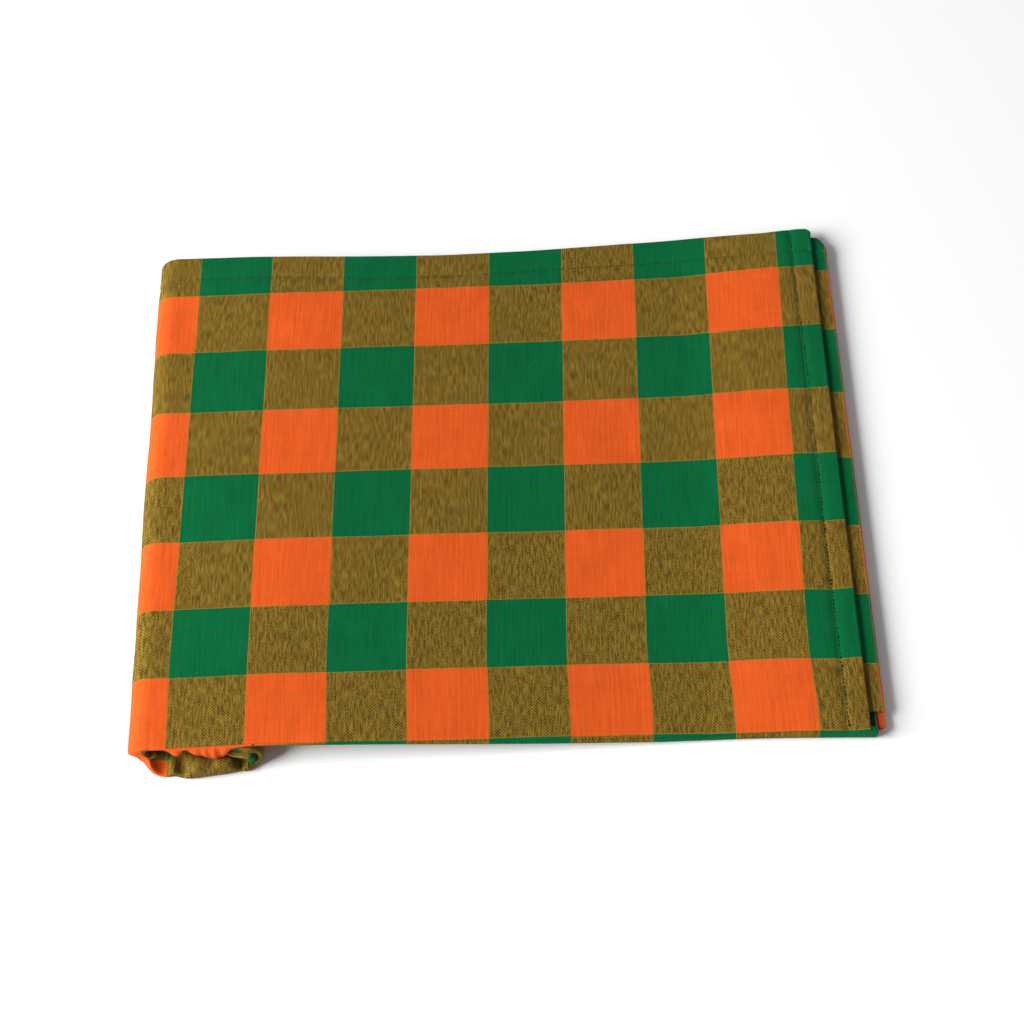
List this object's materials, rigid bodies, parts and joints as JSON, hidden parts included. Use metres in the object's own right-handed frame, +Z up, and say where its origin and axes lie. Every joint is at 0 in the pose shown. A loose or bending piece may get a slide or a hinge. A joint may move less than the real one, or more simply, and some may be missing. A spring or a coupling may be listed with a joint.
{
  "type": "folded shuka cloth",
  "caption": "Folded checked cotton wrap cloth in orange and green, lying flat with hemmed open edges at one end and a flattened roll under the other.",
  "frame": {"origin": "middle of the folded cloth's footprint, on the surface that it lies on", "axes": "+X along the folded strip, from the roll to the open hemmed ends; +Y from the long front fold to the open back edges; +Z up"},
  "size_m": [0.4556, 0.3902, 0.026],
  "materials": {
    "checked_cotton": "plain-woven cotton in an orange and green check, matt"
  },
  "bodies": {
    "root": {"top_sheet": "checked_cotton", "end_hem": "checked_cotton", "side_hem": "checked_cotton", "second_ply": "checked_cotton", "second_hem": "checked_cotton", "folded_core": "checked_cotton", "inner_turns": "checked_cotton"}
  },
  "joints": []
}
